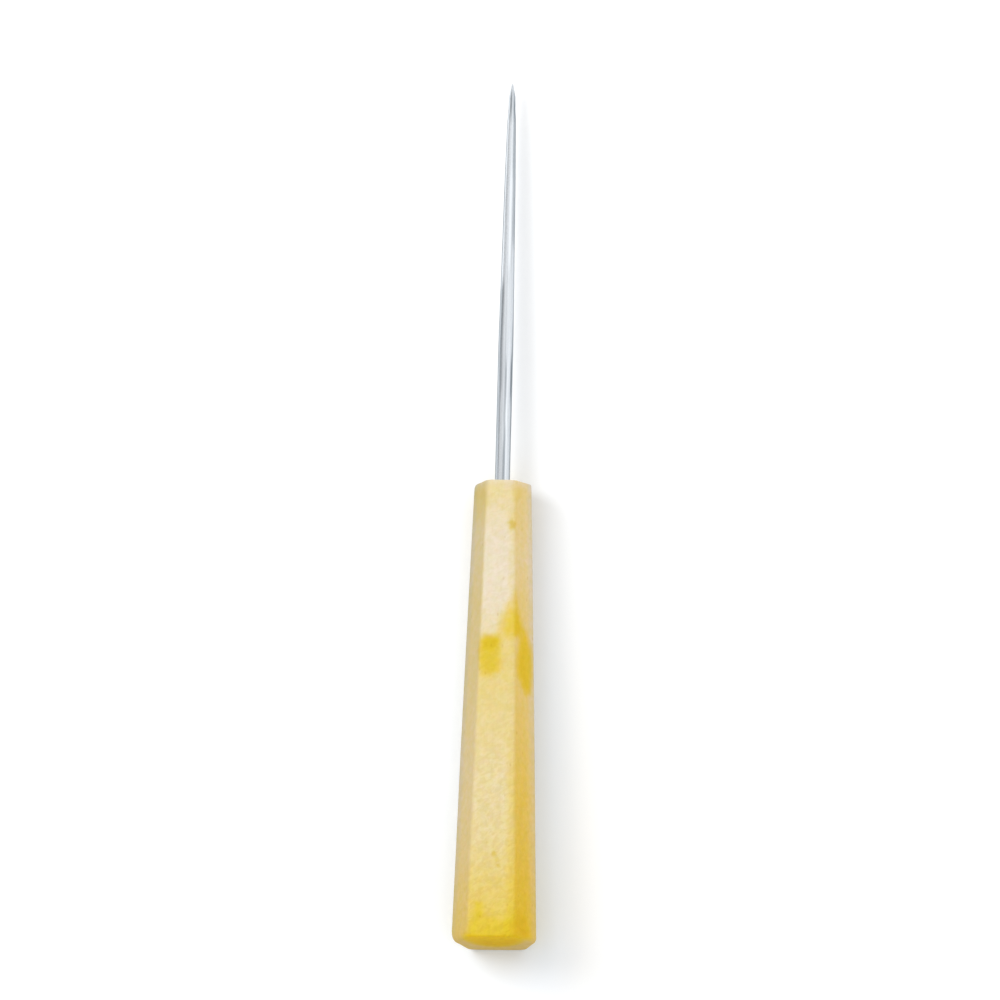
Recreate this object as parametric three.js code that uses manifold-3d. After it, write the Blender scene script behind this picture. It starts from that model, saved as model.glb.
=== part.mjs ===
// An awl: a round steel needle whose tang is driven into a six-sided wooden handle.
// Millimetres, +Z up. The tool lies on the bottom facet of its handle and points towards +Y.
// Its origin is on the surface that it lies on, under the middle of the whole tool.
// Each piece is drawn along its own Y axis first, with the handle's nose at y = 0. The finished
// tool is then tipped by the taper of its handle, so that the bottom facet lies flat.

import * as THREE from 'three';
import { mergeVertices } from 'three/addons/utils/BufferGeometryUtils.js';
import Module from 'manifold-3d';

const wasm = await Module();
wasm.setup();

// Needle, in front of the nose
const bladeLength = 94; // from the nose to the tip
const shankLength = 32; // parallel stretch next to the nose
const shankDiameter = 3.4;
const taperSwell = 0.1; // how far the long taper swells past a straight cone at its middle
const pointLength = 3.5; // short cone that ends the needle
const pointDiameter = 1.3; // where the long taper meets the short cone
const tipDiameter = 0.12; // the point is not perfectly sharp

// Tang, behind the nose
const neckLength = 8; // round stretch, as thick as the shank
const shoulderLength = 1.5; // cone between the neck and the tang
const tangLength = 36; // squared and tapered stretch
const tangRootWidth = 2.3;
const tangEndWidth = 1.3;
const tangPointLength = 2.5; // short pyramid that ends the tang
const tangTipWidth = 0.4;

// Handle, measured to the sharp corners that its facets would have
const handleLength = 106;
const noseWidth = 13.6; // across the left and right corners
const noseFacetWidth = 6.4; // of the top and bottom facets
const noseThickness = 11.7; // from the top facet to the bottom one
const buttWidth = 19.6;
const buttTopFacetWidth = 11.1;
const buttRestFacetWidth = 13.5; // of the bottom facet, which is planed a little wider
const buttThickness = 18.3;

// Edges and fit
const arrisRadius = 1.6; // along the six long corners
const noseEase = 0.5; // round the edge of the nose
const buttEase = 0.8; // round the edge of the butt
const sharpestRadius = 0.05; // what a long corner keeps where the end's edge is eased past it
const seatGap = 0.3; // between the tang and its bore

// Fineness of the faceted surfaces
const roundSides = 40;
const taperSteps = 12;
const arrisSteps = 4;
const easeSteps = 4;

const shankRadius = shankDiameter / 2;
const tangRoot = neckLength + shoulderLength; // distances behind the nose
const tangEnd = tangRoot + tangLength;
const taperAngle = Math.atan((buttThickness - noseThickness) / 2 / handleLength);

const lacqueredWood = new THREE.MeshStandardMaterial({
  name: 'lacquered_wood',
  color: 0xebd79a,
  roughness: 0.35,
  metalness: 0,
});

const polishedSteel = new THREE.MeshStandardMaterial({
  name: 'polished_steel',
  color: 0xb9bcc6,
  roughness: 0.25,
  metalness: 1,
});

function middleOf(ring) {
  const sum = new THREE.Vector3();
  ring.forEach((point) => sum.add(point));
  return sum.divideScalar(ring.length);
}

// A closed skin over rings that follow each other towards +Y. All have the same number of
// points, listed anticlockwise for an eye behind them that looks towards +Y.
function skinOver(rings) {
  const count = rings[0].length;
  const points = rings.flat();
  const backMiddle = points.push(middleOf(rings[0])) - 1;
  const frontMiddle = points.push(middleOf(rings.at(-1))) - 1;
  const frontRing = (rings.length - 1) * count;
  const faces = [];
  for (let i = 0; i < count; i += 1) {
    const next = (i + 1) % count;
    faces.push(backMiddle, i, next);
    faces.push(frontMiddle, frontRing + next, frontRing + i);
    for (let ring = 0; ring < frontRing; ring += count) {
      faces.push(ring + i, ring + count + i, ring + count + next);
      faces.push(ring + i, ring + count + next, ring + next);
    }
  }
  const geometry = new THREE.BufferGeometry().setFromPoints(points);
  geometry.setIndex(faces);
  return geometry;
}

function solidOf(geometry) {
  const bare = geometry.clone();
  bare.deleteAttribute('normal');
  bare.deleteAttribute('uv');
  const merged = mergeVertices(bare);
  const mesh = new wasm.Mesh({
    numProp: 3,
    vertProperties: new Float32Array(merged.getAttribute('position').array),
    triVerts: new Uint32Array(merged.getIndex().array),
  });
  return new wasm.Manifold(mesh);
}

function meshOf(name, solid, material) {
  const { vertProperties, triVerts } = solid.getMesh();
  const geometry = new THREE.BufferGeometry();
  geometry.setAttribute('position', new THREE.Float32BufferAttribute(vertProperties, 3));
  geometry.setIndex(new THREE.Uint32BufferAttribute(triVerts, 1));
  geometry.computeVertexNormals();
  const mesh = new THREE.Mesh(geometry, material);
  mesh.name = name;
  return mesh;
}

// The six sharp corners of the handle's section, anticlockwise, at a distance behind the nose.
function sectionCorners(distance) {
  const share = distance / handleLength;
  const side = THREE.MathUtils.lerp(noseWidth, buttWidth, share) / 2;
  const top = THREE.MathUtils.lerp(noseFacetWidth, buttTopFacetWidth, share) / 2;
  const rest = THREE.MathUtils.lerp(noseFacetWidth, buttRestFacetWidth, share) / 2;
  const height = THREE.MathUtils.lerp(noseThickness, buttThickness, share) / 2;
  return [
    new THREE.Vector2(side, 0),
    new THREE.Vector2(top, height),
    new THREE.Vector2(-top, height),
    new THREE.Vector2(-side, 0),
    new THREE.Vector2(-rest, -height),
    new THREE.Vector2(rest, -height),
  ];
}

// The angle that the side between two corners faces.
function facing(from, to) {
  return Math.atan2(from.x - to.x, to.y - from.y);
}

// One ring round the handle, with rounded corners, drawn in from its full section.
function handleRing(distance, drawnIn) {
  const radius = Math.max(arrisRadius - drawnIn, sharpestRadius);
  const corners = sectionCorners(distance);
  return corners.flatMap((corner, i) => {
    const start = facing(corners.at(i - 1), corner);
    const end = facing(corner, corners[(i + 1) % corners.length]);
    const turn = THREE.MathUtils.euclideanModulo(end - start, 2 * Math.PI);
    const middle = start + turn / 2;
    const inset = (drawnIn + radius) / Math.cos(turn / 2);
    const centreX = corner.x - inset * Math.cos(middle);
    const centreZ = corner.y - inset * Math.sin(middle);
    return Array.from({ length: arrisSteps + 1 }, (_, step) => {
      const angle = start + (turn * step) / arrisSteps;
      const x = centreX + radius * Math.cos(angle);
      const z = centreZ + radius * Math.sin(angle);
      return new THREE.Vector3(x, -distance, z);
    });
  });
}

// Rings round the eased edge of an end: how deep each lies in from the end, and how drawn in.
function easedEdge(ease) {
  return Array.from({ length: easeSteps + 1 }, (_, step) => {
    const angle = ((step / easeSteps) * Math.PI) / 2;
    return { depth: ease * (1 - Math.cos(angle)), drawnIn: ease * (1 - Math.sin(angle)) };
  });
}

function squareRing(width, distance) {
  const half = width / 2;
  const corners = [[half, -half], [half, half], [-half, half], [-half, -half]];
  return corners.map(([x, z]) => new THREE.Vector3(x, -distance, z));
}

// The squared tang, or with some room round it the bore that it sits in.
function squaredTang(room) {
  return solidOf(skinOver([
    squareRing(tangTipWidth + 2 * room, tangEnd + room),
    squareRing(tangEndWidth + 2 * room, tangEnd - tangPointLength),
    squareRing(tangRootWidth + 2 * room, tangRoot - shoulderLength / 2),
  ]));
}

function makeBlade() {
  const taperLength = bladeLength - shankLength - pointLength;
  const profile = [
    new THREE.Vector2(0, -tangRoot),
    new THREE.Vector2(tangRootWidth / 2, -tangRoot),
    new THREE.Vector2(shankRadius, -neckLength),
  ];
  for (let step = 0; step <= taperSteps; step += 1) {
    const share = step / taperSteps;
    const cone = THREE.MathUtils.lerp(shankRadius, pointDiameter / 2, share);
    const swell = taperSwell * 4 * share * (1 - share);
    profile.push(new THREE.Vector2(cone + swell, shankLength + share * taperLength));
  }
  profile.push(new THREE.Vector2(tipDiameter / 2, bladeLength));
  profile.push(new THREE.Vector2(0, bladeLength));
  const needle = solidOf(new THREE.LatheGeometry(profile, roundSides));
  return meshOf('blade', needle.add(squaredTang(0)), polishedSteel);
}

function makeHandle() {
  const butt = easedEdge(buttEase);
  const nose = easedEdge(noseEase).reverse();
  const stick = solidOf(skinOver([
    ...butt.map(({ depth, drawnIn }) => handleRing(handleLength - depth, drawnIn)),
    ...nose.map(({ depth, drawnIn }) => handleRing(depth, drawnIn)),
  ]));
  const drilledDepth = tangRoot + seatGap;
  const drill = new THREE.CylinderGeometry(
    shankRadius + seatGap,
    shankRadius + seatGap,
    2 * drilledDepth,
    roundSides,
  );
  const bored = stick.subtract(solidOf(drill)).subtract(squaredTang(seatGap));
  return meshOf('handle', bored, lacqueredWood);
}

const tool = new THREE.Group();
tool.add(makeHandle(), makeBlade());
tool.rotation.x = -taperAngle;

const reach = new THREE.Box3().setFromObject(tool, true);
const centre = reach.getCenter(new THREE.Vector3());
tool.position.set(-centre.x, -centre.y, -reach.min.z);

const awl = new THREE.Group();
awl.add(tool);

export default awl;
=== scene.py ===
import math

import bpy
from mathutils import Matrix, Vector, noise


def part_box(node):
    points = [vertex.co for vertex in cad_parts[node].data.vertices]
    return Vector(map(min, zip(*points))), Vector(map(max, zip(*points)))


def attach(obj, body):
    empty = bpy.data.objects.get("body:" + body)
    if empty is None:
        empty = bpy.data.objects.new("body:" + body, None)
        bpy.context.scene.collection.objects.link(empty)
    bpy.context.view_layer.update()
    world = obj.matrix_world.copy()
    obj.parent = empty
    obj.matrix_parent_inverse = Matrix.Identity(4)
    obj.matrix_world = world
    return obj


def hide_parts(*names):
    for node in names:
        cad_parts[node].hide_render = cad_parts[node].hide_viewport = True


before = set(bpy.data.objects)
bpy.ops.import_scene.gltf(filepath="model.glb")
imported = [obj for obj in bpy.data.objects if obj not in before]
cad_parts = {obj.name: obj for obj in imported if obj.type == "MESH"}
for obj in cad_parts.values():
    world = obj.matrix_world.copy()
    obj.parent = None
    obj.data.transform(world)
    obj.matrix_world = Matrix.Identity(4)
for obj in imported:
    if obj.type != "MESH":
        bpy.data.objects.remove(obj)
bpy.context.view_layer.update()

# An awl lying on a pale floor: a lacquered six-sided wooden handle and a ground steel needle.
# Sizes are in millimetres until a mesh is finished. Each piece is drawn along its own Y axis,
# with the nose of the handle at y = 0 and the tip at +y, and is then laid down on the floor.

MM = 0.001

# Sizes that the solids have. The handle's are measured to the sharp corners of its facets.
BLADE_LENGTH = 94  # from the nose to the tip
SHANK_LENGTH = 32  # parallel stretch next to the nose
SHANK_DIAMETER = 3.4
TAPER_SWELL = 0.1  # how far the long taper swells past a straight cone at its middle
TIP_DIAMETER = 0.12
NECK_LENGTH = 8  # round stretch behind the nose, as thick as the shank
SHOULDER_LENGTH = 1.5  # between the neck and the squared tang
TANG_LENGTH = 36
TANG_ROOT_WIDTH = 2.3
TANG_END_WIDTH = 1.3
TANG_POINT_LENGTH = 2.5
TANG_TIP_WIDTH = 0.4
HANDLE_LENGTH = 106
NOSE_WIDTH = 13.6
NOSE_FACET_WIDTH = 6.4
NOSE_THICKNESS = 11.7
BUTT_WIDTH = 19.6
BUTT_TOP_FACET_WIDTH = 11.1
BUTT_REST_FACET_WIDTH = 13.5
BUTT_THICKNESS = 18.3

# Finish of the handle's shape
SIDE_SWELL = 0.08  # how far the sides swell past a straight taper
SIDE_ARRIS = (1.6, 0.3)  # least radius of an arris, and how much rounder its worn stretches are
FLAT_ARRIS = (0.9, 0.5)  # the same for an arris next to the top or the bottom facet
ARRIS_END_WEAR = 1.5  # how much rounder such an arris gets towards the nose and the butt
ARRIS_END_REACH = 7  # how far from the end that starts
FACET_WAVES = 0.05  # depth of the shallow waves that planing leaves in a facet
WAVES_ACROSS = 0.16  # how fast they change with each millimetre across the handle
WAVES_ALONG = 0.055  # and along it
NOSE_EASE = 0.45  # how far the nose's edge is rounded
NOSE_EASE_LEFT = 0.7  # how much more on its left
NOSE_FORWARD = 0.12  # how far the nose's face stands past y = 0
NOSE_OUT_OF_SQUARE = 0.012  # how much less it does with each millimetre to the right
BUTT_EASE = 0.5  # how far the butt's edge is rounded
BUTT_EASE_LEFT = 2.1  # how much more on its left
BUTT_EASE_RIGHT = 0.9  # and on its right
BUTT_EASE_ACROSS = 0.65  # share of the rounding's length that it also draws in
BUTT_CROWN = 0.08  # how far the middle of the butt stands past its edge
END_TAPER = 0.003  # share of its width that the handle loses with each millimetre from the butt
MOUTH_GAP = 0.02  # between the shank and the mouth of the bore
MOUTH_EASE = 0.25  # how far the mouth's edge is rounded
SEAT_GAP = 0.05  # between the hidden tang and its bore

# Finish of the needle's shape
POINT_LENGTH = 3.0
POINT_DIAMETER = 1.45
POINT_SHOULDER = 0.1  # how far the needle stands out behind its ground point
POINT_SHOULDER_RISE = (50, 75)  # where along the needle that grows
POINT_SHOULDER_FALL = (84.5, 87.5)  # and where it ends
WORN_TIP_DIAMETER = 0.3
TIP_WORN = 0.7  # how much of the tip has worn off

# The needle is driven in a little off the middle of the nose and leans to the right
MOUTH_OFFSET = -0.17
TIP_OFFSET = 0.34

# Flats that grinding leaves along the needle: which way each faces, from straight up and
# clockwise for an eye behind the butt, and half of its width, in degrees
NEEDLE_FLATS = (
    (-78, 11), (-52, 12), (-27, 9), (-3, 11), (24, 10),
    (49, 12), (76, 10), (120, 13), (178, 12), (-130, 14),
)
FLAT_DRIFT = 7  # degrees that a flat wanders along the needle
FLAT_SHARE = (0.6, 0.8)  # mean share of that width that a flat has, and how far it varies
FLAT_LEAST_SHARE = 0.05

# Smooth noise along an arris or a flat: how far apart two neighbours are in it, how fast it
# changes with each millimetre, and the layer that it is taken from
ARRIS_NOISE = (7.3, 0.045, 1.7)
FLAT_DRIFT_NOISE = (5.1, 0.03, 2.4)
FLAT_SHARE_NOISE = (3.7, 0.05, 8.9)

# Fineness of the meshes
FACET_STEPS = 22
ARRIS_STEPS = 8
HANDLE_STEPS = 290
EASE_STEPS = 10
FACE_STEPS = 16
NEEDLE_SIDES = 144
NEEDLE_STEPS = 260
FINE_NEEDLE_START = -1  # just inside the nose

# The handle's facets, anticlockwise for an eye behind the butt. Each has its number from the
# corner that it starts at.
UPPER_RIGHT, TOP, UPPER_LEFT, LOWER_LEFT, BOTTOM, LOWER_RIGHT = range(6)

TILT = math.atan((BUTT_THICKNESS - NOSE_THICKNESS) / 2 / HANDLE_LENGTH)
SHANK_RADIUS = SHANK_DIAMETER / 2
TANG_ROOT = NECK_LENGTH + SHOULDER_LENGTH
TANG_END = TANG_ROOT + TANG_LENGTH
WORN_LENGTH = BLADE_LENGTH - TIP_WORN

# Camera: a long lens high above the awl, a little to its right and on the butt's side
VIEW_AIM = Vector((-0.62, 2.59, 6.0))
VIEW_DISTANCE = 5000
VIEW_FROM_RIGHT = math.radians(4.5)
VIEW_FROM_BUTT = math.radians(9.3)
VIEW_ROLL = math.radians(1.01)
LENS = 791.1
SENSOR = 36
CLIP = (0.1, 20)  # in metres

# Studio: how bright the white room is on its left and on its right, and between which two
# directions it changes, each given by its x
ROOM_LEFT = 0.62
ROOM_RIGHT = 1.13
ROOM_CHANGE = (-0.9, 0.8)
# The soft lights: name, direction, width in metres and power
LIGHTS = (
    ("high_light", Vector((-0.62, 0.28, 1.0)), 0.6, 1.7),
    ("low_light", Vector((-1.1, 0.45, 1.0)), 0.5, 3.6),
)
LIGHT_DISTANCE = 0.9  # in metres
FLOOR_COLOUR = (0.893, 0.9, 0.905, 1)
FLOOR_COOL_COLOUR = (0.88, 0.922, 0.982, 1)  # next to the handle: painted, to cancel the yellow light that the handle throws on the floor
FLOOR_COOL_SIDE = (22, 8)  # how far from the middle that starts, and where it is complete
FLOOR_COOL_NOSE = (25, -55)  # the same along the awl, from the nose's end and from the butt's
FLOOR_COOL_BUTT = (-124, -102)
FLOOR_HALF_WIDTH = 5  # in metres


def lerp(a, b, share):
    return a + (b - a) * share


def blend(a, b, share):
    """The same for each part of two colours."""
    return [lerp(x, y, share) for x, y in zip(a, b)]


def smooth(share):
    share = min(max(share, 0), 1)
    return share * share * (3 - 2 * share)


def rise(value, start, end):
    """Goes smoothly from 0 to 1 while a value goes from the start to the end."""
    return smooth((value - start) / (end - start))


def along(curve, place):
    """The value at a place of a curve given by points with straight lines between them."""
    for (start, low), (end, high) in zip(curve, curve[1:]):
        if place <= end:
            return lerp(low, high, min(max((place - start) / (end - start), 0), 1))
    return curve[-1][1]


def varied(settings, i, y):
    """Smooth noise from -1 to 1 for one arris or flat, at a place along the awl."""
    apart, rate, layer = settings
    return noise.noise(Vector((apart * i, rate * y, layer)))


def srgb(red, green, blue, level=1):
    """The linear colour, for a shader, of a colour given from 0 to 255 as the eye sees it."""

    def linear(value):
        share = value / 255
        return share / 12.92 if share <= 0.04045 else ((share + 0.055) / 1.055) ** 2.4

    return linear(red) * level, linear(green) * level, linear(blue) * level, 1.0


def make_camera():
    back = Vector((math.sin(VIEW_FROM_RIGHT), -math.sin(VIEW_FROM_BUTT), 0))
    back.z = math.sqrt(1 - back.length_squared)
    up = Vector((-math.sin(VIEW_ROLL), math.cos(VIEW_ROLL), 0))
    right = up.cross(back).normalized()
    up = back.cross(right)
    data = bpy.data.cameras.new("camera")
    data.sensor_width = SENSOR
    data.lens = LENS
    data.clip_start, data.clip_end = CLIP
    camera = bpy.data.objects.new("camera", data)
    bpy.context.scene.collection.objects.link(camera)
    place = (VIEW_AIM + back * VIEW_DISTANCE) * MM
    turn = Matrix((right, up, back)).transposed().to_4x4()
    camera.matrix_world = Matrix.Translation(place) @ turn
    bpy.context.scene.camera = camera


def laid_down():
    """Takes a piece from its own frame, in millimetres, to its place on the floor, in metres."""
    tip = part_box("blade")[1].y / MM - TIP_DIAMETER / 2 * math.sin(TILT)
    nose = Vector((0, tip - BLADE_LENGTH * math.cos(TILT), NOSE_THICKNESS / 2 * math.cos(TILT)))
    return Matrix.Scale(MM, 4) @ Matrix.Translation(nose) @ Matrix.Rotation(-TILT, 4, "X")


def lofted(name, rings, first_pole, last_pole):
    """A closed mesh over rings with equally many points, which run anticlockwise for an eye that
    looks along the rings' order, and over a pole at each end."""
    count = len(rings[0])
    last_ring = 1 + (len(rings) - 1) * count
    points = [first_pole] + [point for ring in rings for point in ring] + [last_pole]
    faces = []
    for i in range(count):
        after = (i + 1) % count
        faces.append((0, 1 + after, 1 + i))
        for start in range(1, last_ring, count):
            faces.append((start + i, start + after, start + count + after, start + count + i))
        faces.append((last_ring + i, last_ring + after, len(points) - 1))
    mesh = bpy.data.meshes.new(name)
    placed = laid_down()
    mesh.from_pydata([placed @ point for point in points], [], faces)
    mesh.shade_smooth()
    piece = bpy.data.objects.new(name, mesh)
    bpy.context.scene.collection.objects.link(piece)
    return piece


def add_values(mesh, name, values):
    mesh.attributes.new(name, "FLOAT", "POINT").data.foreach_set("value", values)


def add_colours(mesh, name, values):
    mesh.attributes.new(name, "FLOAT_COLOR", "POINT").data.foreach_set("color", values)


def direction(angle):
    return Vector((math.cos(angle), math.sin(angle)))


def facing(start, end):
    """The angle that the side between two corners faces."""
    return math.atan2(start.x - end.x, end.y - start.y)


def needle_offset(y):
    """How far right of the handle's axis the needle's axis lies."""
    return lerp(MOUTH_OFFSET, TIP_OFFSET, y / BLADE_LENGTH)


def squared(centre, half, angle):
    """The point of a square in the direction of an angle."""
    way = direction(angle)
    return Vector((centre, 0)) + way * half / max(abs(way.x), abs(way.y))


# Shape of the handle


def section_corners(distance):
    """The six sharp corners of the handle's section, anticlockwise, from the right one."""
    share = distance / HANDLE_LENGTH
    side = lerp(NOSE_WIDTH, BUTT_WIDTH, share) / 2 + SIDE_SWELL * 4 * share * (1 - share)
    top = lerp(NOSE_FACET_WIDTH, BUTT_TOP_FACET_WIDTH, share) / 2
    rest = lerp(NOSE_FACET_WIDTH, BUTT_REST_FACET_WIDTH, share) / 2
    height = lerp(NOSE_THICKNESS, BUTT_THICKNESS, share) / 2
    return [
        Vector((side, 0)),
        Vector((top, height)),
        Vector((-top, height)),
        Vector((-side, 0)),
        Vector((-rest, -height)),
        Vector((rest, -height)),
    ]


class HandlePoint:
    """A point of the handle's surface. Its facets are the one behind it, the one ahead of it and
    the share of the latter, and across is how far over the facet it lies, both anticlockwise."""

    def __init__(self, flat, out, y, facets, across):
        self.flat = flat
        self.out = out
        self.y = y
        self.facets = facets
        self.across = across
        self.girth = 0  # to the right from the middle of the top facet, round the handle
        self.lacquer = 0
        self.dull = 0
        self.end = 0  # how far it has turned to face out of an end of the handle
        self.end_tint_and_shade = NOSE_TINT

    def moved(self, flat, y):
        point = HandlePoint(flat, self.out, y, self.facets, self.across)
        point.girth = self.girth
        return point

    def place(self):
        return Vector((self.flat.x, self.y, self.flat.y))


def rounded_corners(distance):
    """The worn corners of the handle's section, each a list of its points with the direction
    that the skin faces there."""
    corners = section_corners(distance)
    from_end = min(distance, HANDLE_LENGTH - distance)
    end_wear = ARRIS_END_WEAR * rise(from_end, ARRIS_END_REACH, 0)
    arcs = []
    for i, corner in enumerate(corners):
        start = facing(corners[i - 1], corner)
        turn = (facing(corner, corners[(i + 1) % len(corners)]) - start) % (2 * math.pi)
        at_side = corner.y == 0
        least, wear = SIDE_ARRIS if at_side else FLAT_ARRIS
        radius = least + wear * (0.5 + 0.5 * varied(ARRIS_NOISE, i, distance))
        if not at_side:
            radius += end_wear
        centre = corner - direction(start + turn / 2) * radius / math.cos(turn / 2)
        outs = [direction(start + turn * step / ARRIS_STEPS) for step in range(ARRIS_STEPS + 1)]
        arcs.append([(centre + out * radius, out) for out in outs])
    return arcs


def handle_ring(distance):
    """One full ring of the handle, from the middle of its bottom facet."""
    arcs = rounded_corners(distance)
    ring = []
    for i, arc in enumerate(arcs):
        for step, (flat, out) in enumerate(arc):
            facets = ((i - 1) % len(arcs), i, smooth(step / ARRIS_STEPS))
            ring.append(HandlePoint(flat, out, -distance, facets, 0))
        facet_start, out = arc[-1]
        facet_end = arcs[(i + 1) % len(arcs)][0][0]
        for step in range(1, FACET_STEPS):
            across = step / FACET_STEPS
            flat = facet_start.lerp(facet_end, across)
            ring.append(HandlePoint(flat, out, -distance, (i, i, 0), across))
    bottom_end = (BOTTOM + 1) * (ARRIS_STEPS + FACET_STEPS)
    middle = bottom_end - FACET_STEPS // 2
    ring = ring[middle:] + ring[:middle]
    reach = [0]
    for point, after in zip(ring, ring[1:] + ring[:1]):
        reach.append(reach[-1] + (after.flat - point.flat).length)
    for point, way in zip(ring, reach):
        point.girth = reach[-1] / 2 - way
    return ring


def planed(ring):
    """The ring moved in by the shallow waves that the plane left, never out."""
    for point in ring:
        across = point.flat * WAVES_ACROSS
        spot = Vector((across.x, point.y * WAVES_ALONG, across.y))
        point.flat -= point.out * FACET_WAVES * (0.5 + 0.5 * noise.noise(spot))
    return ring


def butt_ease(point):
    way = point.flat.normalized().x
    return BUTT_EASE + BUTT_EASE_LEFT * max(-way, 0) ** 2 + BUTT_EASE_RIGHT * max(way, 0) ** 2


def nose_ease(point):
    return NOSE_EASE + NOSE_EASE_LEFT * max(-point.flat.normalized().x, 0) ** 3


def butt_rings():
    """The crowned end face and the rounding round its edge."""
    full = handle_ring(HANDLE_LENGTH)
    eased = []
    for step in range(EASE_STEPS + 1):
        angle = math.pi / 2 * step / EASE_STEPS
        ring = []
        for point in full:
            ease = butt_ease(point)
            depth = BUTT_CROWN + ease * (1 - math.cos(angle))
            flat = point.flat * (1 - END_TAPER * depth)
            flat -= point.out * ease * BUTT_EASE_ACROSS * (1 - math.sin(angle))
            ring.append(point.moved(flat, depth - HANDLE_LENGTH))
        eased.append(ring)
    faces = []
    for step in range(1, FACE_STEPS):
        share = step / FACE_STEPS
        y = BUTT_CROWN * share ** 2 - HANDLE_LENGTH
        faces.append([point.moved(point.flat * share, y) for point in eased[0]])
    for ring in faces + eased:
        planed(ring)
    return faces, eased


def long_rings():
    start = HANDLE_LENGTH - BUTT_EASE - BUTT_EASE_LEFT - 2 * BUTT_CROWN
    end = NOSE_EASE + NOSE_EASE_LEFT
    steps = range(HANDLE_STEPS + 1)
    return [planed(handle_ring(lerp(start, end, step / HANDLE_STEPS))) for step in steps]


def nose_rings():
    """The rounding round the nose's edge, and its face from there to the mouth of the bore."""
    full = handle_ring(0)
    eased = []
    for step in range(EASE_STEPS, -1, -1):
        angle = math.pi / 2 * step / EASE_STEPS
        ring = []
        for point in full:
            ease = nose_ease(point)
            flat = point.flat - point.out * ease * (1 - math.sin(angle))
            ring.append(point.moved(flat, -ease * (1 - math.cos(angle))))
        eased.append(planed(ring))
    mouth_radius = SHANK_RADIUS + MOUTH_GAP + MOUTH_EASE
    faces = []
    for step in range(1, FACE_STEPS + 1):
        ring = []
        for point in eased[-1]:
            mouth = Vector((MOUTH_OFFSET, 0)) + point.flat.normalized() * mouth_radius
            ring.append(point.moved(point.flat.lerp(mouth, step / FACE_STEPS), 0))
        faces.append(ring)
    for ring in eased + faces:
        for point in ring:
            point.y += NOSE_FORWARD - NOSE_OUT_OF_SQUARE * point.flat.x
    return eased[1:], faces


def bore_rings(edge):
    """The blind bore that holds the tang."""
    mouth = SHANK_RADIUS + MOUTH_GAP
    lip = 0.3 * MOUTH_EASE  # about halfway round the eased edge of the mouth
    angles = [math.atan2(point.flat.y, point.flat.x) for point in edge]

    def ring_at(y, half, square):
        centre = needle_offset(y)
        ring = []
        for point, angle in zip(edge, angles):
            round_flat = Vector((centre, 0)) + direction(angle) * half
            flat = squared(centre, half, angle) if square else round_flat
            ring.append(point.moved(flat, y))
        return ring

    return [
        ring_at(-lip, mouth + lip, False),
        ring_at(-MOUTH_EASE, mouth, False),
        ring_at(-NECK_LENGTH - SEAT_GAP, mouth, False),
        ring_at(-TANG_ROOT - SEAT_GAP, TANG_ROOT_WIDTH / 2 + SEAT_GAP, True),
        ring_at(-TANG_END + TANG_POINT_LENGTH - SEAT_GAP, TANG_END_WIDTH / 2 + SEAT_GAP, True),
        ring_at(-TANG_END - SEAT_GAP, TANG_TIP_WIDTH / 2 + SEAT_GAP, True),
    ]


# Lacquer of the handle

# How thick the yellow lacquer lies on each facet, from 0, a bare film, to 1, the band at the
# butt, at distances behind the nose
TOP_LACQUER = (
    (0, 0.24), (4.7, 0.19), (11.7, 0.03), (18.6, 0.0), (27.9, 0.02), (35.6, 0.14),
    (37.4, 0.42), (44, 0.4), (51.2, 0.34), (60.5, 0.28), (67.5, 0.22), (74.5, 0.22),
    (81.4, 0.25), (88.4, 0.37), (95.4, 0.52), (101.2, 0.68), (106, 0.8),
)
RIGHT_LACQUER = (
    (0, 0.32), (4.1, 0.3), (11, 0.28), (18, 0.2), (27.3, 0.34), (50.5, 0.43), (66.7, 0.55),
    (73.7, 0.63), (80.7, 0.64), (87.6, 0.72), (94.6, 0.84), (100.4, 0.92), (106, 0.95),
)
LEFT_LACQUER = (
    (0, 0.4), (3, 0.38), (11, 0.17), (18, 0.18), (27.3, 0.25), (50.5, 0.24),
    (66.7, 0.18), (80.7, 0.24), (87.6, 0.28), (94.6, 0.4), (100.4, 0.46), (106, 0.5),
)
REST_LACQUER = ((0, 0.2), (20, 0.05), (45, 0.12), (75, 0.08), (95, 0.3), (106, 0.6))
# How much thicker it lies in a strip along the top facet's right edge
STRIP_LACQUER = ((8, 0), (12, 0.12), (26, 0.12), (33, 0), (55, 0), (68, 0.2))
STRIP_WIDTH = 0.26  # as a share of the facet's width
# Shares of RIGHT_LACQUER that the upper right facet has at its lower edge and further up, and
# how far up that is, as a share of its width
RIGHT_SHARES = (0.6, 1.1)
RIGHT_SHARES_REACH = 0.6
# The lower facets go over from the bottom facet's lacquer to this share of the right one's, or
# to the left one's, across this share of their width
LOWER_RIGHT_SHARE = 0.45
LOWER_REACH = 0.9
# The nose's edge is rubbed: how much of the lacquer is left there, and how far the rubbing goes
NOSE_LACQUER_LEFT = 0.4
NOSE_RUBBED = 2.5
NOSE_FACE_LACQUER = 0.3

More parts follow.
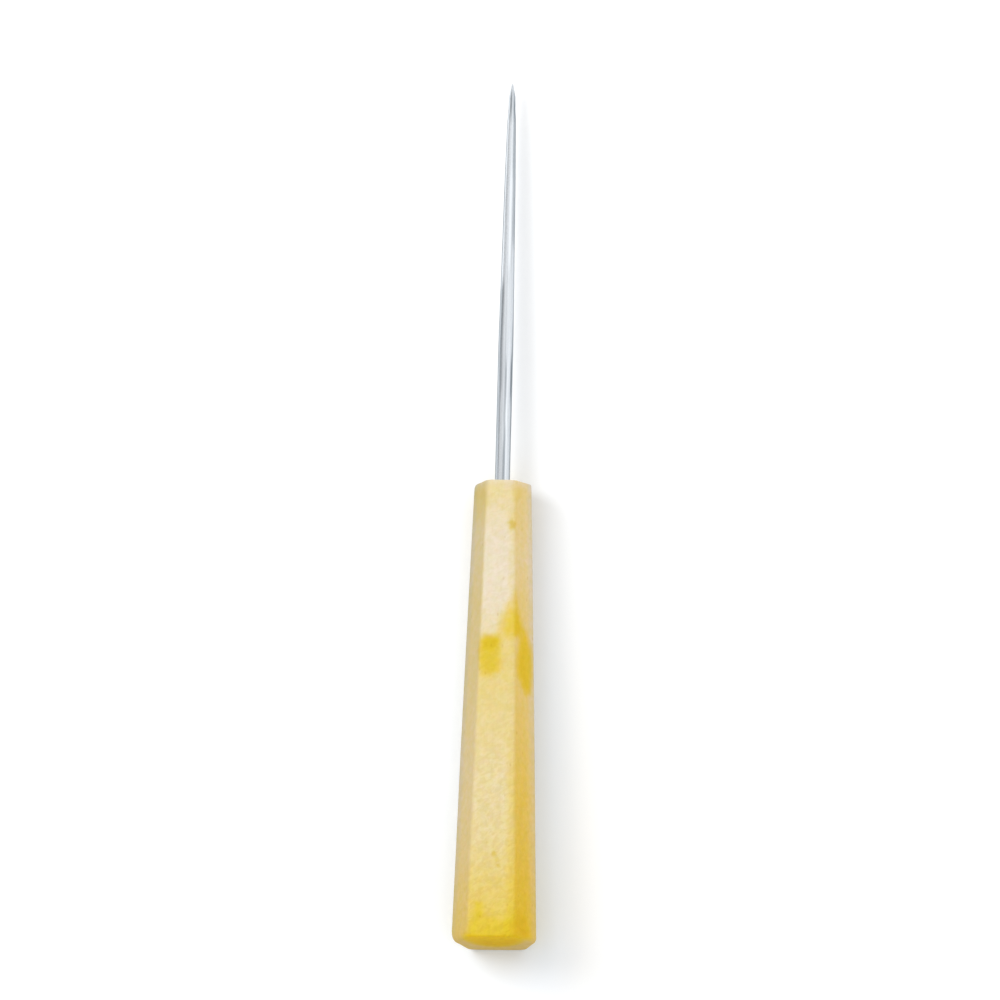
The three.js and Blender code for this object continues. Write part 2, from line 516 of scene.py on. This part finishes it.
# Pools where the lacquer lies thicker: their outlines, to the right round the handle from the
# middle of the top facet and behind the nose, then how much thicker, how wide their edge fades
# and how much they dull the wood
POOLS = (
    # A stain at the nose
    (((2.6, 1.0), (4.2, 0.4), (5.8, 1.4), (5.6, 4.2), (3.6, 5.0), (2.4, 3.2)), 0.1, 2.4, 0),
    # A dot behind the nose, in a fainter stain
    (((1.7, 7.2), (3.4, 6.8), (3.9, 10.2), (2.3, 11.4)), 0.14, 2.2, 0),
    (((1.9, 9.8), (2.8, 9.5), (3.6, 10.2), (3.3, 11.3), (2.2, 11.4)), 0.36, 1.2, 0.12),
    # A run from the arris over the top facet, thickest in its middle
    (((3.8, 26.6), (2.1, 28.8), (0.9, 31.4), (0.2, 34.3), (0.4, 36.0), (2.2, 36.4), (3.9, 36.4),
      (5.8, 36.4), (6.9, 34.8), (6.2, 32.0), (4.9, 29.2)), 0.4, 3.0, 0),
    (((3.0, 30.4), (5.2, 31.6), (6.4, 33.8), (6.0, 35.8), (3.6, 36.2), (1.7, 35.8),
      (1.9, 32.5)), 0.28, 2.4, 0),
    # A patch on the left of the top facet, thicker towards the nose
    (((-3.9, 37.4), (-3.1, 36.3), (-1.4, 36.0), (0, 36.2), (0.5, 37.3), (0.4, 40.7), (0.9, 42.8),
      (0.2, 44.4), (-1.3, 45.4), (-3.1, 45.2), (-4.0, 43.2), (-4.2, 39.6)), 0.5, 2.6, 0.03),
    (((-3.2, 37.2), (-1.4, 36.6), (0, 37.0), (0, 38.9), (-1.5, 39.6), (-3.1, 39.0)),
     0.25, 1.8, 0.03),
    # A drop on the upper right facet
    (((6.2, 37.6), (5.5, 40.4), (5.2, 42.0), (5.2, 44.0), (5.8, 45.6), (6.8, 46.6), (7.9, 48.0),
      (9.0, 49.0), (10.1, 48.6), (10.7, 47.2), (11.0, 44.2), (11.0, 40.5), (10.4, 38.4),
      (9.2, 36.6), (8.5, 35.2), (7.3, 34.6), (6.7, 36.0)), 0.66, 3.0, 0),
    # The band at the butt, then more in the short run on its left
    (((-20, 105.6), (-8, 105.4), (-5.8, 104.6), (-4.9, 103.0), (-3.9, 101.6), (-3.5, 98.0),
      (-2.2, 97.9), (-1.9, 101.2), (0, 101.9), (3.0, 102.4), (5.0, 101.5), (7, 100.2),
      (9.5, 100.6), (11.5, 103), (14, 107.5), (14, 108), (-20, 108)), 0.2, 2.2, 0),
    (((-3.6, 98.2), (-2.4, 98.2), (-2.2, 101.5), (-3.6, 101.5)), 0.1, 1.0, 0),
    # Three dots in front of the band
    (((0.1, 86.5), (0.7, 86.4), (0.8, 87.2), (0.1, 87.3)), 0.26, 0.7, 0.1),
    (((0.9, 87.8), (1.4, 87.8), (1.5, 88.4), (0.9, 88.4)), 0.2, 0.7, 0.08),
    (((1.1, 89.2), (1.8, 89.2), (1.8, 90.0), (1.1, 90.0)), 0.26, 0.7, 0.1),
)
POOL_WANDER = 0.35  # how far a pool's edge wanders
POOL_WANDER_RATE = 0.9  # how fast that changes with each millimetre
POOL_WANDER_LAYER = 4.2  # of the noise
POOL_WANDER_SEED = 1  # without one, vector noise is shifted by the clock and differs each run

# On the butt's face the lacquer is thick but for a pale rim at the bottom and the sides, a
# painted highlight where the rounded edge catches the light
END_LACQUER = 1.3
END_RIM_HIGHLIGHT_LACQUER = 0.5
END_POOL_MIDDLE = Vector((0.4, 8.5))
END_POOL_HALF = Vector((7.0, 12.4))
END_POOL_EDGE = (0.75, 1.2)  # where the rim starts and is complete, in half widths of the pool
END_SHADE_RATE = 1.8  # how fast the butt's face goes over from its top tint to its darker bottom one, a painted shade


def outlined_pools():
    """The pools, each with the corners of the box round its outline."""
    pools = []
    for corners, *finish in POOLS:
        outline = [Vector(corner) for corner in corners]
        low = Vector((min(p.x for p in outline), min(p.y for p in outline)))
        high = Vector((max(p.x for p in outline), max(p.y for p in outline)))
        pools.append((outline, low, high, *finish))
    return pools


def depth_inside(outline, spot):
    """How far inside an outline a spot lies. It is negative outside."""
    inside = False
    nearest = math.inf
    for start, end in zip(outline, outline[1:] + outline[:1]):
        edge = end - start
        share = min(max((spot - start).dot(edge) / edge.length_squared, 0), 1)
        nearest = min(nearest, (spot - start - edge * share).length)
        if (start.y > spot.y) != (end.y > spot.y):
            inside ^= start.x + (spot.y - start.y) / edge.y * edge.x > spot.x
    return nearest if inside else -nearest


def pooled(girth, distance, pools):
    """How much thicker the pools make the lacquer at a spot of the skin, and how much duller."""
    spot = Vector((girth, distance))
    wander = noise.noise_vector(Vector((*spot * POOL_WANDER_RATE, POOL_WANDER_LAYER)))
    spot += wander.xy * POOL_WANDER
    added = dulled = 0
    for outline, low, high, thicker, fade, dull in pools:
        if low.x - fade < spot.x < high.x + fade and low.y - fade < spot.y < high.y + fade:
            inside = smooth(0.5 + depth_inside(outline, spot) / fade)
            added += thicker * inside
            dulled += dull * inside
    return added, dulled


def facet_lacquer(facet, across, distance):
    right = along(RIGHT_LACQUER, distance)
    left = along(LEFT_LACQUER, distance)
    rest = along(REST_LACQUER, distance)
    if facet == UPPER_RIGHT:
        return right * lerp(*RIGHT_SHARES, rise(across, 0, RIGHT_SHARES_REACH))
    if facet == TOP:
        strip = along(STRIP_LACQUER, distance) * rise(across, STRIP_WIDTH, 0)
        return along(TOP_LACQUER, distance) + strip
    if facet == UPPER_LEFT:
        return left
    if facet == LOWER_LEFT:
        return lerp(left, rest, rise(across, 0, LOWER_REACH))
    if facet == LOWER_RIGHT:
        return lerp(rest, LOWER_RIGHT_SHARE * right, rise(across, 1 - LOWER_REACH, 1))
    return rest


def lacquer_skin(rings):
    noise.seed_set(POOL_WANDER_SEED)
    pools = outlined_pools()
    for ring in rings:
        for point in ring:
            behind, ahead, share = point.facets
            distance = -point.y
            start = facet_lacquer(behind, 1 if behind != ahead else point.across, distance)
            end = facet_lacquer(ahead, 0 if behind != ahead else point.across, distance)
            added, point.dull = pooled(point.girth, distance, pools)
            rubbed = lerp(NOSE_LACQUER_LEFT, 1, rise(distance, 0, NOSE_RUBBED))
            point.lacquer = (lerp(start, end, share) + added) * rubbed


def lacquer_butt(faces, eased):
    for i, ring in enumerate(faces + eased):
        turned = smooth(max(i - len(faces), 0) / EASE_STEPS)
        for point in ring:
            away = point.flat - END_POOL_MIDDLE
            reach = math.hypot(away.x / END_POOL_HALF.x, away.y / END_POOL_HALF.y)
            # the pale rim is a painted highlight, and the tints darken towards the bottom and at
            # the rim as painted shade
            rim = rise(reach, *END_POOL_EDGE)
            low = smooth(END_SHADE_RATE * (0.5 - point.flat.y / BUTT_THICKNESS))
            point.lacquer = lerp(lerp(END_LACQUER, END_RIM_HIGHLIGHT_LACQUER, rim), point.lacquer, turned)
            point.end = 1 - turned
            point.end_tint_and_shade = blend(blend(*BUTT_LIGHT_AND_SHADE_TINTS, low), blend(*BUTT_RIM_SHADE_TINTS, low), rim)


def lacquer_nose(rings):
    for ring in rings:
        for point in ring:
            point.lacquer = NOSE_FACE_LACQUER
            point.end = 1


# Wood of the handle

# Painted light and shade: how each facet is tinted lighter or darker for the way the light falls
# on it, at the nose and at the butt, from the upper right facet anticlockwise
FACET_LIGHT_AND_SHADE_TINTS = (
    ((1.1, 1.04, 0.99), (1.085, 0.975, 0.92)),
    ((1.0, 1.0, 1.0), (1.0, 1.0, 1.0)),
    ((0.73, 0.72, 0.69), (0.84, 0.78, 0.71)),
    ((0.8, 0.79, 0.76), (0.84, 0.8, 0.74)),
    ((1.0, 0.98, 0.96), (0.98, 0.95, 0.92)),
    ((0.94, 0.93, 0.96), (0.94, 0.93, 0.95)),
)
# How strongly the figure of the wood shows on each of them
FACET_FIGURES = (0.6, 1.0, 0.45, 0.6, 0.9, 0.5)
NOSE_FIGURE = 0.6  # share of the figure that shows near the nose
FIGURE_RISE = (50, 75)  # between which distances behind the nose it grows to the whole
# Painted shade: the right and the left arris, where the skin turns away from the light, are
# darker and greyer, and so is the edge of the facet above each
NO_TINT = (1, 1, 1)
RIGHT_ARRIS_SHADE = (0.88, 0.94, 1.14)
LEFT_ARRIS_SHADE = (0.83, 0.92, 1.27)
ARRIS_REACH = 0.4  # how far the painted shade goes over that facet, as a share of its width
ARRIS_SHARE = 0.72  # how strong it is where the arris meets that facet
# Over the arris it grows at this rate from the facet below, until it meets a line that comes
# down to ARRIS_SHARE from this height
ARRIS_SHADE_RATE = 1.6
ARRIS_SHADE_START = 1.2
NOSE_TINT = (1.05, 1.0, 0.95)
# Painted light and shade on the butt's face, with the deeper colour of its thick lacquer: its
# tint at its top and, darker, at its bottom, under thick lacquer and at its rim, where it is
# darker still
BUTT_LIGHT_AND_SHADE_TINTS = ((1.14, 1.08, 0.52), (1.0, 0.9, 0.74))
BUTT_RIM_SHADE_TINTS = ((0.98, 0.93, 1.0), (0.89, 0.83, 0.95))


def shaded_arris(up):
    """How much painted shade an arris has, at a share of its turn from the facet below it to the
    one above.
    """
    return min(ARRIS_SHADE_RATE * up, lerp(ARRIS_SHADE_START, ARRIS_SHARE, up))


def shaded_facet(away):
    """How much painted shade the facet above an arris has, at a share of its width away from the
    arris.
    """
    return ARRIS_SHARE * rise(away, ARRIS_REACH, 0)


def arris_shade(point):
    """How much painted shade a point near the right arris has, and near the left one."""
    behind, ahead, share = point.facets
    if behind == ahead:
        right = shaded_facet(point.across) if behind == UPPER_RIGHT else 0
        left = shaded_facet(1 - point.across) if behind == UPPER_LEFT else 0
    else:
        right = shaded_arris(share) if ahead == UPPER_RIGHT else 0
        left = shaded_arris(1 - share) if ahead == LOWER_LEFT else 0
    return right, left


def skin_tint_and_shade(point):
    behind, ahead, share = point.facets
    # painted light and shade: each facet lighter or darker for how the light falls on it
    nose = blend(FACET_LIGHT_AND_SHADE_TINTS[behind][0], FACET_LIGHT_AND_SHADE_TINTS[ahead][0], share)
    butt = blend(FACET_LIGHT_AND_SHADE_TINTS[behind][1], FACET_LIGHT_AND_SHADE_TINTS[ahead][1], share)
    facet = blend(nose, butt, -point.y / HANDLE_LENGTH)
    # painted shade along the right and the left arris
    right_shade, left_shade = arris_shade(point)
    right = blend(NO_TINT, RIGHT_ARRIS_SHADE, right_shade)
    left = blend(NO_TINT, LEFT_ARRIS_SHADE, left_shade)
    skin = [facet[i] * right[i] * left[i] * (1 - point.dull) for i in range(3)]
    return [*blend(skin, point.end_tint_and_shade, point.end), 1.0]


def skin_figure(point):
    behind, ahead, share = point.facets
    facet = lerp(FACET_FIGURES[behind], FACET_FIGURES[ahead], share)
    return facet * lerp(NOSE_FIGURE, 1, rise(-point.y, *FIGURE_RISE))


def make_handle():
    faces, eased = butt_rings()
    nose_edge, nose_face = nose_rings()
    skin = eased + long_rings() + nose_edge
    bore = bore_rings(nose_face[-1])
    lacquer_skin(skin)
    lacquer_butt(faces, eased)
    lacquer_nose(nose_face + bore)
    rings = faces + skin + nose_face + bore
    butt = Vector((0, -HANDLE_LENGTH, 0))
    end = Vector((needle_offset(-TANG_END), -TANG_END - SEAT_GAP, 0))
    piece = lofted("lacquered_handle", [[p.place() for p in ring] for ring in rings], butt, end)
    lacquer = [END_LACQUER]
    tint = [*BUTT_LIGHT_AND_SHADE_TINTS[0], 1.0]
    figure = [0.0]
    for ring in rings:
        for point in ring:
            lacquer.append(point.lacquer)
            tint += skin_tint_and_shade(point)
            figure.append(skin_figure(point))
    lacquer.append(NOSE_FACE_LACQUER)
    tint += [*NOSE_TINT, 1.0]
    figure.append(0.0)
    add_values(piece.data, "lacquer", lacquer)
    add_values(piece.data, "figure", figure)
    add_colours(piece.data, "tint_and_painted_shade", tint)
    return piece


# Needle

# Painted reflections, as streaks along the needle that stand for what its round polish reflects:
# which way each faces, its half width in degrees, where it starts and ends along the needle, and
# how much darker it is, or brighter below 0
REFLECTION_BANDS = (
    (-86, 26, -20, 100, 0.7),
    (-72, 14, 52, 88, 0.25),
    (-44, 18, -20, 12, 0.46),
    (-44, 16, 12, 21, 0.58),
    (-39, 17, 21, 47, 0.61),
    (-22, 7, -20, 20, -0.2),
    (-38, 17, 50, 88, 0.12),
    (-8, 10, -20, 30, 0.1),
    (-12, 18, 85.5, 92.5, 0.62),
    (1, 6, -20, 9, 0.2),
    (12, 9, -20, 13, 0.62),
    (8, 9, 13, 19, 0.46),
    (10, 8, 19, 28, 0.56),
    (12, 16, 28, 50, 0.2),
    (12, 14, 72, 92, 0.12),
    (60, 37, -20, 100, 0.35),
    (88, 18, -20, 100, 0.1),
    (65, 12, -20, 12, 0.15),
    (70, 12, 12, 19, 0.25),
    (60, 12, 19.5, 29.5, 0.5),
    (66, 10, 30, 38, 0.24),
    (34, 10, 49, 57, 0.12),
    (55, 22, 56, 72, 0.24),
    (52, 24, 72, 90, 0.32),
    (40, 28, 86, 93, 0.16),
)
REFLECTION_BAND_EDGE = (1.4, 0.4)  # where a painted reflection streak starts and is complete, in its half widths
REFLECTION_BAND_END = 6  # over how many millimetres it starts and ends


def needle_radius(y):
    taper_length = WORN_LENGTH - SHANK_LENGTH - POINT_LENGTH
    if y <= SHANK_LENGTH:
        return SHANK_RADIUS
    share = (y - SHANK_LENGTH) / taper_length
    if share <= 1:
        cone = lerp(SHANK_RADIUS, POINT_DIAMETER / 2, share)
        swell = TAPER_SWELL * 4 * share * (1 - share)
        shoulder = rise(y, *POINT_SHOULDER_RISE) * (1 - rise(y, *POINT_SHOULDER_FALL))
        return cone + swell + POINT_SHOULDER * shoulder
    share = (y - SHANK_LENGTH - taper_length) / POINT_LENGTH
    return lerp(POINT_DIAMETER / 2, WORN_TIP_DIAMETER / 2, share)


def angle_between(a, b):
    """The difference of two angles in degrees, from -180 to 180."""
    return (a - b + 180) % 360 - 180


def facing_angles():
    """Where the needle's points lie round it: clockwise from straight up, in degrees."""
    return [90 - 360 * side / NEEDLE_SIDES for side in range(NEEDLE_SIDES)]


def ground_ring(y):
    """One ring of the needle, with the flats that grinding leaves."""
    radius = needle_radius(y)
    mean_share, share_varies = FLAT_SHARE
    ring = []
    for angle in facing_angles():
        cut = 1
        for i, (faces, width) in enumerate(NEEDLE_FLATS):
            drift = FLAT_DRIFT * varied(FLAT_DRIFT_NOISE, i, y)
            share = mean_share + share_varies * varied(FLAT_SHARE_NOISE, i, y)
            half = math.radians(width) * min(max(share, FLAT_LEAST_SHARE), 1)
            away = math.radians(angle_between(angle, faces + drift))
            if abs(away) < half:
                cut = min(cut, math.cos(half) / math.cos(away))
        flat = direction(math.radians(90 - angle)) * radius * cut
        ring.append(Vector((needle_offset(y) + flat.x, y, flat.y)))
    return ring


def squared_ring(y, width):
    ring = []
    for angle in facing_angles():
        flat = squared(needle_offset(y), width / 2, math.radians(90 - angle))
        ring.append(Vector((flat.x, y, flat.y)))
    return ring


def reflection_darkening(angle, y):
    """How much darker the painted reflections make a spot of the needle."""
    darker = 0
    for faces, half, start, end, dark in REFLECTION_BANDS:
        across = rise(abs(angle_between(angle, faces)) / half, *REFLECTION_BAND_EDGE)
        ends = smooth((y - start) / REFLECTION_BAND_END + 0.5) * smooth((end - y) / REFLECTION_BAND_END + 0.5)
        darker += dark * across * ends
    return darker


def make_blade():
    rings = [
        squared_ring(-TANG_END, TANG_TIP_WIDTH),
        squared_ring(-TANG_END + TANG_POINT_LENGTH, TANG_END_WIDTH),
        squared_ring(-TANG_ROOT, TANG_ROOT_WIDTH),
        ground_ring(-NECK_LENGTH),
    ]
    for step in range(NEEDLE_STEPS + 1):
        rings.append(ground_ring(lerp(FINE_NEEDLE_START, WORN_LENGTH, step / NEEDLE_STEPS)))
    start = Vector((needle_offset(-TANG_END), -TANG_END, 0))
    end = Vector((TIP_OFFSET, WORN_LENGTH, 0))
    piece = lofted("ground_needle", rings, start, end)
    painted_reflections = [0.0]
    for ring in rings:
        painted_reflections += [reflection_darkening(angle, point.y) for angle, point in zip(facing_angles(), ring)]
    painted_reflections.append(0.0)
    add_values(piece.data, "painted_reflections", painted_reflections)
    return piece


# Materials


class Shader:
    """Adds the nodes of one material and joins them up."""

    def __init__(self, name):
        self.material = bpy.data.materials.new(name)
        self.material.use_nodes = True
        self.tree = self.material.node_tree
        self.surface = self.tree.nodes["Principled BSDF"].inputs

    def node(self, kind, inputs=None, **settings):
        node = self.tree.nodes.new("ShaderNode" + kind)
        for name, value in settings.items():
            setattr(node, name, value)
        for name, value in (inputs or {}).items():
            self.feed(node.inputs[name], value)
        return node

    def feed(self, socket, value):
        if isinstance(value, bpy.types.NodeSocket):
            self.tree.links.new(value, socket)
        else:
            socket.default_value = value

    def math(self, operation, a, b=0.0):
        return self.node("Math", {0: a, 1: b}, operation=operation).outputs[0]

    def attribute(self, name, output="Fac"):
        return self.node("Attribute", attribute_name=name).outputs[output]

    def stretched(self, place, x, y, z):
        return self.node("VectorMath", {0: place, 1: (x, y, z)}, operation="MULTIPLY").outputs[0]

    def place(self):
        """Where a point is, in millimetres."""
        return self.stretched(self.node("TexCoord").outputs["Object"], 1 / MM, 1 / MM, 1 / MM)

    def parts(self, vector):
        return self.node("SeparateXYZ", {0: vector}).outputs

    def noise(self, vector, scale, detail=2.0, roughness=0.5, distortion=0.0):
        inputs = {"Vector": vector, "Scale": scale, "Detail": detail}
        inputs.update({"Roughness": roughness, "Distortion": distortion})
        return self.node("TexNoise", inputs).outputs["Fac"]

    def remap(self, value, low, high, to_low=0.0, to_high=1.0):
        inputs = {"Value": value, "From Min": low, "From Max": high}
        inputs.update({"To Min": to_low, "To Max": to_high})
        return self.node("MapRange", inputs, interpolation_type="SMOOTHSTEP").outputs["Result"]

    def swing(self, value, reach):
        """Noise brought to a range as wide below 0 as above it."""
        return self.remap(value, 0.3, 0.7, -reach, reach)

    def ramp(self, value, stops):
        node = self.node("ValToRGB", {"Fac": value})
        elements = node.color_ramp.elements
        elements[0].position, elements[0].color = stops[0]
        elements[1].position, elements[1].color = stops[-1]
        for position, colour in stops[1:-1]:
            elements.new(position).color = colour
        return node.outputs["Color"]

    def multiplied(self, a, b):
        node = self.node("Mix", {0: 1.0, 6: a, 7: b}, data_type="RGBA", blend_type="MULTIPLY")
        return node.outputs[2]

    def joined(self, red, green, blue):
        return self.node("CombineColor", {0: red, 1: green, 2: blue}).outputs[0]

    def bump(self, height, distance, normal=None):
        inputs = {"Height": height, "Distance": distance * MM, "Strength": 1.0}
        if normal:
            inputs["Normal"] = normal
        return self.node("Bump", inputs).outputs["Normal"]


# The wood's colour through ever thicker lacquer, as the eye sees it under the bright studio
# light, each after the share of END_LACQUER that it belongs to
LACQUER_COLOURS = (
    (0.0, (238, 224, 197)),
    (0.19, (236, 216, 158)),
    (0.38, (235, 209, 120)),
    (0.58, (234, 204, 84)),
    (0.77, (232, 202, 57)),
    (1.0, (229, 193, 38)),
)
WOOD_LEVEL = 0.765  # brings those colours to what the surface itself has
LACQUER_MOTTLE = 0.05  # how far the lacquer's thickness varies
FIBRE_FINENESS = (2.6, 0.22, 2.6)  # across the handle, along it and up
FIBRE_SHADE = 0.015  # how far the fibre lightens and darkens the wood
FIBRE_DEPTH = 0.005
RIPPLE = 0.058  # how far the figure lightens and darkens the wood
RIPPLE_SLANT = 0.4  # how far its waves go towards the nose with each millimetre to the right
RIPPLE_ACROSS = 0.8  # how fine they are across the handle, where 1 is how fine they are along it
FLECK = 0.12  # how dark the small flecks are
FLECK_FINENESS = (1.0, 0.6, 1.0)
FLECK_FADE = (0.1, 0.26)  # from where to where a fleck fades, in cells from its middle
FLECK_RARITY = (0.84, 0.87)  # share of the cells without one, and from which on it is whole
WARMTH = (0.7, 1.5)  # powers that a shade has in red and in blue, which make dark wood warmer
HUE_SWING = (0.024, 0.05)  # how far red and blue vary by themselves
PEEL_DEPTH = 0.006  # of the lacquer's own unevenness
LACQUER_ROUGHNESS = (0.4, 0.52)


def lacquer_colour(shader, place):
    uneven = shader.swing(shader.noise(place, 0.7, 3.0, 0.55), LACQUER_MOTTLE)
    depth = shader.math("ADD", shader.attribute("lacquer"), uneven)
    stops = [(share, srgb(*colour, WOOD_LEVEL)) for share, colour in LACQUER_COLOURS]
    return shader.ramp(shader.math("DIVIDE", depth, END_LACQUER), stops)


def wood_ripple(shader, place):
    """The figure of the wood, in slanting waves."""
    x, y, z = shader.parts(place)
    waves = shader.node("CombineXYZ", {
        0: shader.math("MULTIPLY", x, RIPPLE_ACROSS),
        1: shader.math("SUBTRACT", y, shader.math("MULTIPLY", x, RIPPLE_SLANT)),
        2: shader.math("MULTIPLY", z, RIPPLE_ACROSS),
    }).outputs[0]
    ripple = shader.remap(shader.noise(waves, 0.75, 3.0, 0.6, 0.8), 0.35, 0.65, -RIPPLE, RIPPLE)
    return shader.math("MULTIPLY", ripple, shader.attribute("figure"))


def wood_flecks(shader, place):
    """Small dark flecks, in a few cells of the surface."""
    inputs = {"Vector": shader.stretched(place, *FLECK_FINENESS), "Scale": 0.8}
    cells = shader.node("TexVoronoi", inputs).outputs
    rare = shader.node("SeparateColor", {"Color": cells["Color"]}).outputs[0]
    spot = shader.remap(cells["Distance"], *FLECK_FADE, FLECK, 0.0)
    return shader.math("MULTIPLY", spot, shader.remap(rare, *FLECK_RARITY))


def wood_shade(shader, place, fibre):
    """What the wood's grain multiplies its colour by."""
    grain = shader.remap(fibre, 0.3, 0.7, 1 - FIBRE_SHADE, 1 + FIBRE_SHADE)
    shade = shader.math("ADD", wood_ripple(shader, place), grain)
    shade = shader.math("SUBTRACT", shade, wood_flecks(shader, place))
    hue = shader.noise(place, 0.65, 3.0)
    red, blue = [
        shader.math("ADD", shader.math("POWER", shade, power), shader.swing(hue, reach))
        for power, reach in zip(WARMTH, HUE_SWING)
    ]
    return shader.joined(red, shade, blue)


def lacquered_wood():
    shader = Shader("lacquered_wood")
    place = shader.place()
    fibre = shader.noise(shader.stretched(place, *FIBRE_FINENESS), 1.0, 4.0, 0.6)
    wood = shader.multiplied(lacquer_colour(shader, place), wood_shade(shader, place, fibre))
    colour = shader.multiplied(wood, shader.attribute("tint_and_painted_shade", "Color"))
    peel = shader.bump(shader.noise(place, 1.1), PEEL_DEPTH)
    surface = shader.surface
    shader.feed(surface["Base Color"], colour)
    shader.feed(surface["Roughness"], shader.remap(fibre, 0.2, 0.8, *LACQUER_ROUGHNESS))
    shader.feed(surface["Normal"], shader.bump(fibre, FIBRE_DEPTH, peel))
    surface["Specular IOR Level"].default_value = 0.0
    surface["Coat Weight"].default_value = 0.08
    surface["Coat Roughness"].default_value = 0.2
    return shader.material


STEEL_COLOUR = (0.91, 0.955, 1.0, 1)
DARKEST_REFLECTION_COLOUR = (0.115, 0.145, 0.175, 1)  # of the darkest painted reflection
STEEL_EDGE_COLOUR = (0.36, 0.38, 0.39, 1)  # where the light only grazes it
STEEL_MOTTLE = 0.05  # how far the broad marks that grinding left vary it
STEEL_ROUGHNESS = (0.22, 0.34)
BROAD_MARKS = (1.6, 0.035, 1.6)  # how fine they are across the needle, along it and up
FINE_MARKS = (9.0, 0.1, 9.0)
FINE_MARKS_DEPTH = 0.008


def ground_steel():
    shader = Shader("polished_steel")
    place = shader.place()
    broad = shader.noise(shader.stretched(place, *BROAD_MARKS), 1.0, 3.0, 0.55)
    fine = shader.noise(shader.stretched(place, *FINE_MARKS), 1.0, 3.0, 0.6)
    # the painted reflections set how dark the steel is
    dark = shader.math("SUBTRACT", shader.attribute("painted_reflections"), shader.swing(broad, STEEL_MOTTLE))
    surface = shader.surface
    colour = shader.ramp(dark, [(0.0, STEEL_COLOUR), (1.0, DARKEST_REFLECTION_COLOUR)])
    shader.feed(surface["Base Color"], colour)
    shader.feed(surface["Roughness"], shader.remap(fine, 0.25, 0.75, *STEEL_ROUGHNESS))
    shader.feed(surface["Normal"], shader.bump(fine, FINE_MARKS_DEPTH))
    surface["Metallic"].default_value = 1.0
    surface["Specular Tint"].default_value = STEEL_EDGE_COLOUR
    return shader.material


# Studio


def make_floor():
    half = FLOOR_HALF_WIDTH
    mesh = bpy.data.meshes.new("floor")
    corners = [(-half, -half, 0), (half, -half, 0), (half, half, 0), (-half, half, 0)]
    mesh.from_pydata(corners, [], [(0, 1, 2, 3)])
    floor = bpy.data.objects.new("floor", mesh)
    bpy.context.scene.collection.objects.link(floor)
    shader = Shader("pale_floor")
    x, y, _ = shader.parts(shader.place())
    # painted: cooler beside the handle, to cancel the yellow light bounced from it
    beside = shader.remap(shader.math("ABSOLUTE", x), *FLOOR_COOL_SIDE)
    for ends in (FLOOR_COOL_NOSE, FLOOR_COOL_BUTT):
        beside = shader.math("MULTIPLY", beside, shader.remap(y, *ends))
    colour = shader.ramp(beside, [(0.0, FLOOR_COLOUR), (1.0, FLOOR_COOL_COLOUR)])
    shader.feed(shader.surface["Base Color"], colour)
    shader.surface["Roughness"].default_value = 0.9
    shader.surface["Specular IOR Level"].default_value = 0.0
    mesh.materials.append(shader.material)


def make_lights():
    for name, way, width, power in LIGHTS:
        data = bpy.data.lights.new(name, "AREA")
        data.shape = "SQUARE"
        data.size = width
        data.energy = power
        light = bpy.data.objects.new(name, data)
        bpy.context.scene.collection.objects.link(light)
        light.location = way.normalized() * LIGHT_DISTANCE
        light.rotation_mode = "QUATERNION"
        light.rotation_quaternion = way.to_track_quat("Z", "Y")
        light.visible_camera = False
        light.visible_glossy = False


def make_room():
    """A white room, darker on the left."""
    world = bpy.data.worlds.new("studio")
    world.use_nodes = True
    bpy.context.scene.world = world
    tree = world.node_tree
    spot = tree.nodes.new("ShaderNodeTexCoord").outputs["Generated"]
    parts = tree.nodes.new("ShaderNodeSeparateXYZ")
    tree.links.new(spot, parts.inputs[0])
    side = tree.nodes.new("ShaderNodeMapRange")
    side.interpolation_type = "SMOOTHSTEP"
    side.inputs["From Min"].default_value = ROOM_CHANGE[0]
    side.inputs["From Max"].default_value = ROOM_CHANGE[1]
    side.inputs["To Min"].default_value = ROOM_LEFT
    side.inputs["To Max"].default_value = ROOM_RIGHT
    tree.links.new(parts.outputs[0], side.inputs["Value"])
    background = tree.nodes["Background"]
    background.inputs["Color"].default_value = (1, 1, 1, 1)
    tree.links.new(side.outputs["Result"], background.inputs["Strength"])


def dress(piece, material, node):
    piece.data.materials.append(material)
    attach(piece, "root")
    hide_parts(node)


make_camera()
bpy.context.scene.view_settings.view_transform = "Standard"
make_room()
make_lights()
make_floor()
dress(make_handle(), lacquered_wood(), "handle")
dress(make_blade(), ground_steel(), "blade")
